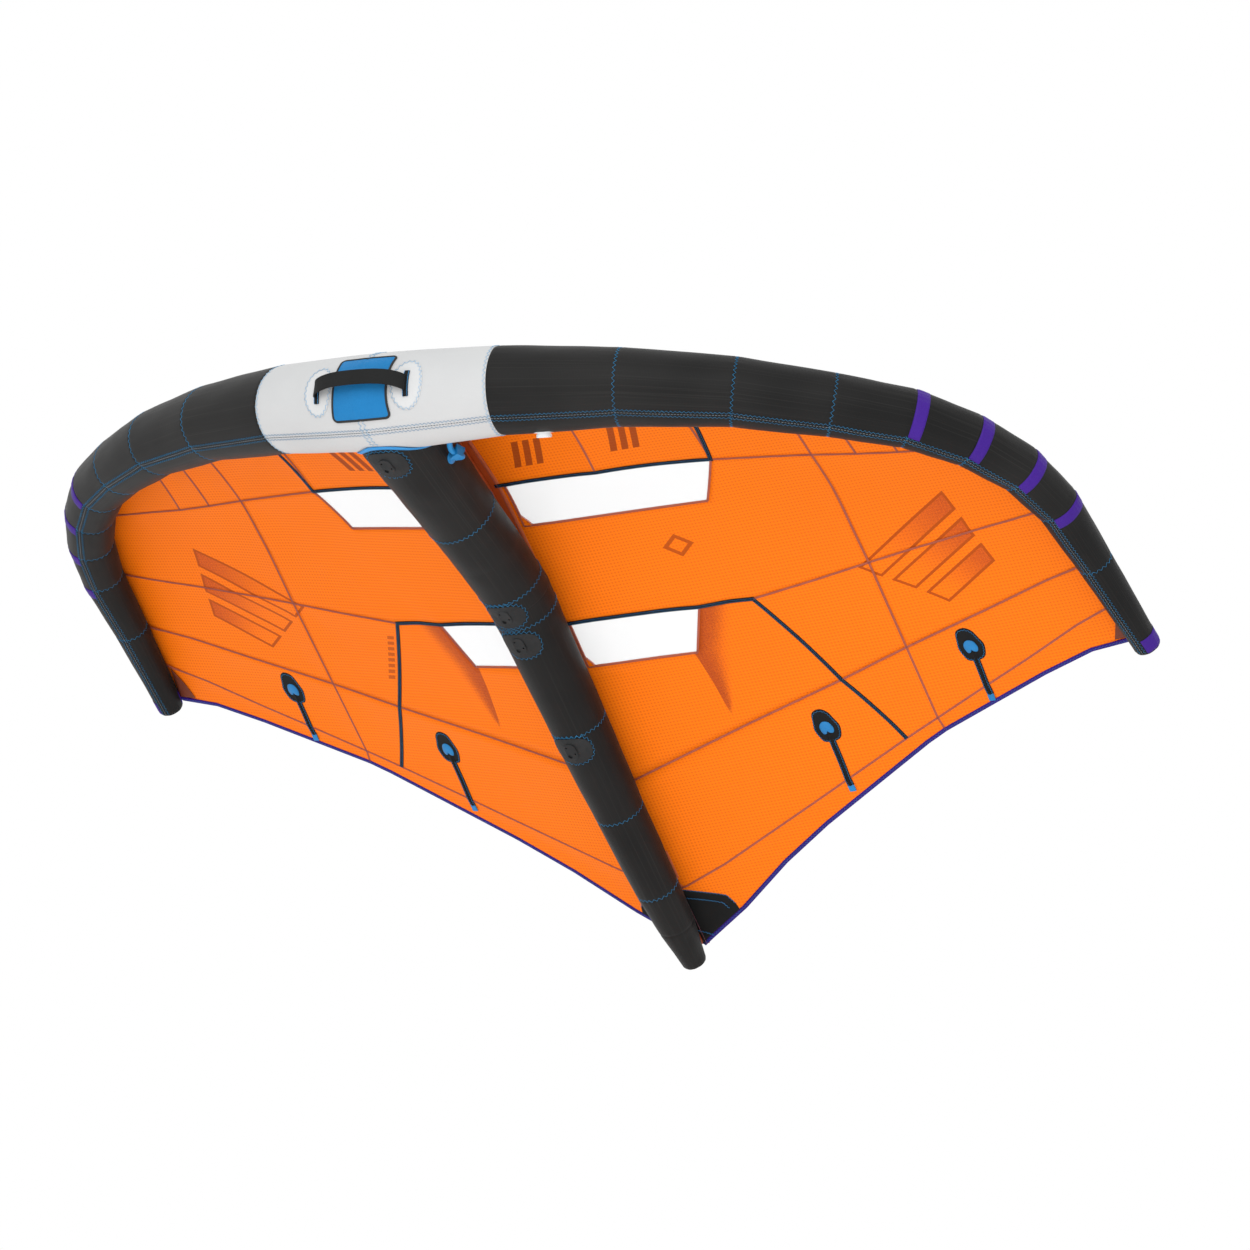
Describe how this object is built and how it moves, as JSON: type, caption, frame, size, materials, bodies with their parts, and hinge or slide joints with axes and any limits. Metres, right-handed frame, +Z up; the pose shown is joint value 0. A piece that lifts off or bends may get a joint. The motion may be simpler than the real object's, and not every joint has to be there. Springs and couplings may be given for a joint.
{
  "type": "wingfoil wing",
  "caption": "Hand-held inflatable wing: an arched tube leading edge, a centre strut with handle plates, and a panelled canopy with clear windows.",
  "frame": {"origin": "middle of the outer face of handle_plate_3, under the centre strut near the wing's balance point", "axes": "+X to the wing's valve side along the span, +Y aft as the wing is held, +Z up; the strut slopes down aft by 47 degrees"},
  "size_m": [2.9696, 1.5914, 1.4299],
  "materials": {
    "canopy_ripstop": "woven grid",
    "sleeve_black": "coated weave",
    "sleeve_white": "coated weave",
    "tape_black": "stitched",
    "hem_purple": "stitched",
    "spine_brown": "woven",
    "binding_blue": "stitched",
    "pad_blue": "padded",
    "strap_black": "webbing",
    "patch_white": "stitched",
    "patch_black": "stitched",
    "window_film": "clear film",
    "bladder_film": "clear film",
    "batten_blue": "smooth",
    "plate_grey": "moulded",
    "valve_white": "smooth",
    "valve_grey": "moulded",
    "hose_blue": "smooth",
    "clamp_blue": "moulded"
  },
  "bodies": {
    "wing": {"air_hose": "hose_blue", "batten_inner_left": "batten_blue", "batten_inner_right": "batten_blue", "batten_outer_left": "batten_blue", "batten_outer_right": "batten_blue", "batten_patch_inner_left": "patch_black", "batten_patch_inner_right": "patch_black", "batten_patch_outer_left": "patch_black", "batten_patch_outer_right": "patch_black", "canopy_front_inner_left": "canopy_ripstop", "canopy_front_inner_right": "canopy_ripstop", "canopy_front_outer_left": "canopy_ripstop", "canopy_front_outer_right": "canopy_ripstop", "canopy_lower_left": "canopy_ripstop", "canopy_lower_right": "canopy_ripstop", "canopy_middle_inner_left": "canopy_ripstop", "canopy_middle_inner_right": "canopy_ripstop", "canopy_middle_outer_left": "canopy_ripstop", "canopy_middle_outer_right": "canopy_ripstop", "canopy_rear_inner_left": "canopy_ripstop", "canopy_rear_inner_right": "canopy_ripstop", "canopy_rear_outer_left": "canopy_ripstop", "canopy_rear_outer_right": "canopy_ripstop", "canopy_spine": "spine_brown", "edge_bladder": "bladder_film", "edge_sleeve_left_1": "sleeve_black", "edge_sleeve_left_2": "sleeve_black", "edge_sleeve_left_3": "sleeve_black", "edge_sleeve_middle": "sleeve_white", "edge_sleeve_right_1": "sleeve_black", "edge_sleeve_right_2": "sleeve_black", "edge_sleeve_right_3": "sleeve_black", "front_handle": "strap_black", "handle_patch_left": "patch_white", "handle_patch_right": "patch_white", "handle_plate_1": "plate_grey", "handle_plate_2": "plate_grey", "handle_plate_3": "plate_grey", "handle_plate_4": "plate_grey", "hose_clamp": "clamp_blue", "knuckle_pad": "pad_blue", "strut_binding": "binding_blue", "strut_bladder": "bladder_film", "strut_sleeve_front": "sleeve_black", "strut_sleeve_middle": "sleeve_black", "strut_sleeve_rear": "sleeve_black", "tape_front_left": "tape_black", "tape_front_right": "tape_black", "tape_rear_left": "tape_black", "tape_rear_right": "tape_black", "trailing_hem_left": "hem_purple", "trailing_hem_right": "hem_purple", "valve_body": "valve_white", "window_front_left": "window_film", "window_front_right": "window_film", "window_rear_left": "window_film", "window_rear_right": "window_film"},
    "valve_cap": {"valve_cap": "valve_grey"},
    "valve_core": {"valve_core": "valve_grey"},
    "clamp_jaw": {"clamp_jaw": "clamp_blue"}
  },
  "joints": [
    {"name": "cap_hinge", "type": "hinge", "parent": "wing", "child": "valve_cap", "pos_m": [0.39629, -0.48872, 0.44855], "axis": [0.955, 0.2945, 0.0345], "range_deg": [0, 165]},
    {"name": "core_turn", "type": "hinge", "parent": "wing", "child": "valve_core", "pos_m": [0.40326, -0.51174, 0.45201], "axis": [-0.001, 0.1197, -0.9928], "range_deg": [0, 90]},
    {"name": "jaw_hinge", "type": "hinge", "parent": "wing", "child": "clamp_jaw", "pos_m": [0.13752, -0.46924, 0.43943], "axis": [0.3714, 0.8719, -0.3193], "range_deg": [0, 35]}
  ]
}
